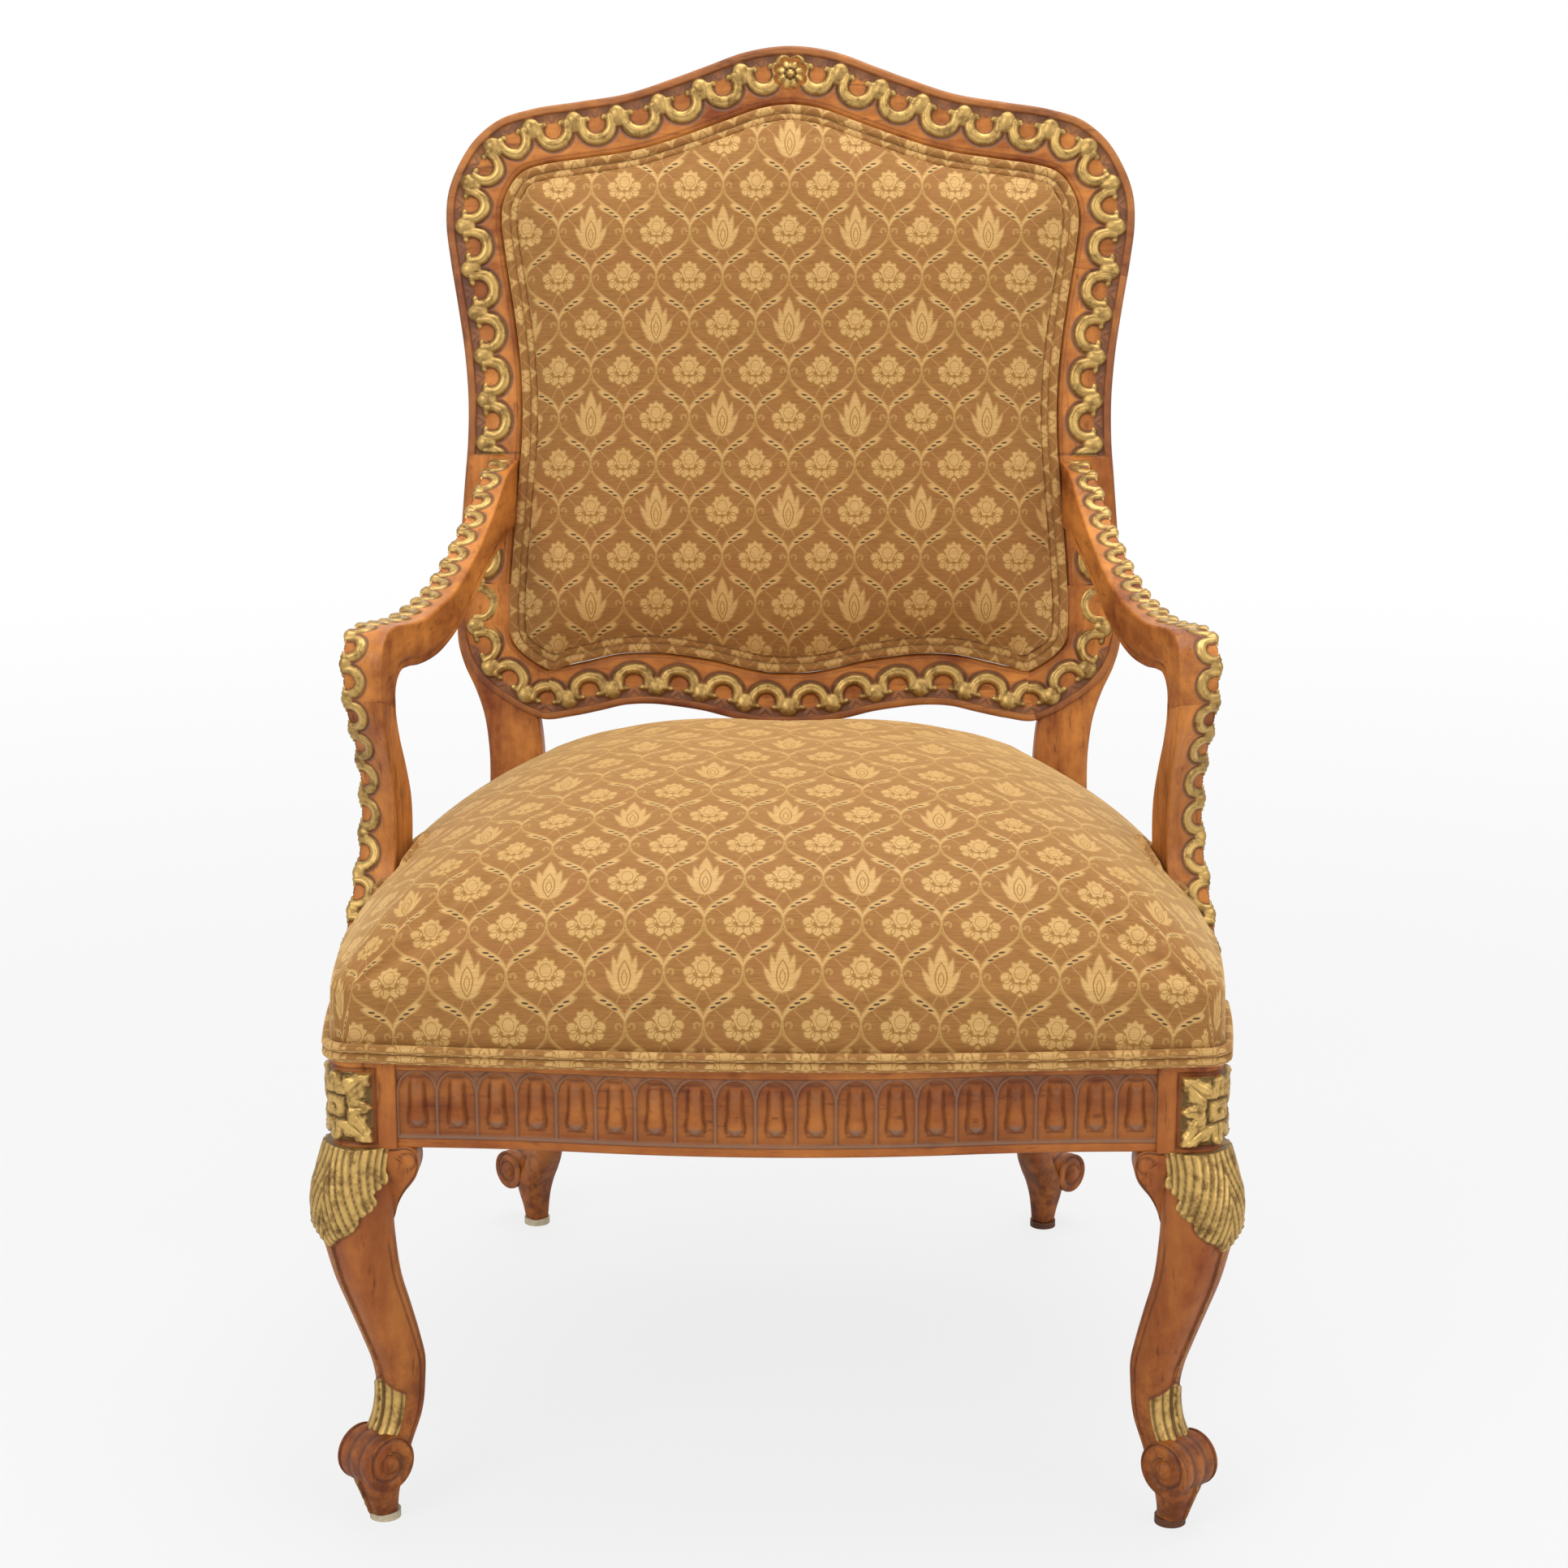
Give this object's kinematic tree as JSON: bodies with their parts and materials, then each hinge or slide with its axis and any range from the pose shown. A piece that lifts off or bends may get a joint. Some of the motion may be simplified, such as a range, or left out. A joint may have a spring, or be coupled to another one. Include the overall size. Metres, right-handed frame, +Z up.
{
  "type": "upholstered open armchair",
  "caption": "Carved open armchair with cabriole legs and scroll feet, a bowed rail, curved open arms, a framed padded back and a crowned tight seat.",
  "frame": {"origin": "on the floor, at the centre of the chair's footprint box", "axes": "+Z up, +Y towards the back of the chair, +X towards the right hand of someone who faces the chair from the front"},
  "size_m": [0.6914, 0.7226, 1.1026],
  "materials": {
    "carved_wood": "aged stain and wax over carved wood, with worn parcel gilding on the raised ornament",
    "beech": "plain unstained wood",
    "damask": "woven damask, brown ground with straw-gold ogee lattice",
    "outside_cover": "the same damask, flat",
    "welt": "double cord covered in the damask",
    "webbing": "jute",
    "hessian": "coarse jute cloth",
    "stuffing": "loose fill",
    "dust_cloth": "thin black cambric",
    "steel": "plain steel",
    "blued_steel": "blued",
    "glide": "satin"
  },
  "bodies": {
    "root": {"arm_left": "carved_wood", "arm_right": "carved_wood", "arm_screws": "steel", "arm_support_left": "carved_wood", "arm_support_right": "carved_wood", "arm_support_screws": "steel", "back_and_arm_dowels": "beech", "back_cover_inside": "damask", "back_cover_outside": "outside_cover", "back_hessian": "hessian", "back_stuffing": "stuffing", "back_webbing": "webbing", "back_welt_inside": "welt", "back_welt_outside": "welt", "crest_rail": "carved_wood", "dust_cover": "dust_cloth", "dust_cover_tacks": "blued_steel", "front_glue_block_left": "beech", "front_glue_block_right": "beech", "front_leg_left": "carved_wood", "front_leg_right": "carved_wood", "front_seat_rail": "carved_wood", "glide_front_left": "glide", "glide_front_right": "glide", "glide_nails": "steel", "glide_rear_left": "glide", "glide_rear_right": "glide", "glue_block_screws": "steel", "knee_ear_front_left": "carved_wood", "knee_ear_front_right": "carved_wood", "knee_ear_side_left": "carved_wood", "knee_ear_side_right": "carved_wood", "lower_back_rail": "carved_wood", "rear_glue_block_left": "beech", "rear_glue_block_right": "beech", "rear_post_left": "carved_wood", "rear_post_right": "carved_wood", "rear_seat_rail": "carved_wood", "seat_cover": "damask", "seat_foam": "stuffing", "seat_frame_dowels": "beech", "seat_hessian": "hessian", "seat_wadding": "stuffing", "seat_webbing_crosswise": "webbing", "seat_webbing_lengthwise": "webbing", "seat_welt": "welt", "side_seat_rail_left": "carved_wood", "side_seat_rail_right": "carved_wood"}
  },
  "joints": []
}
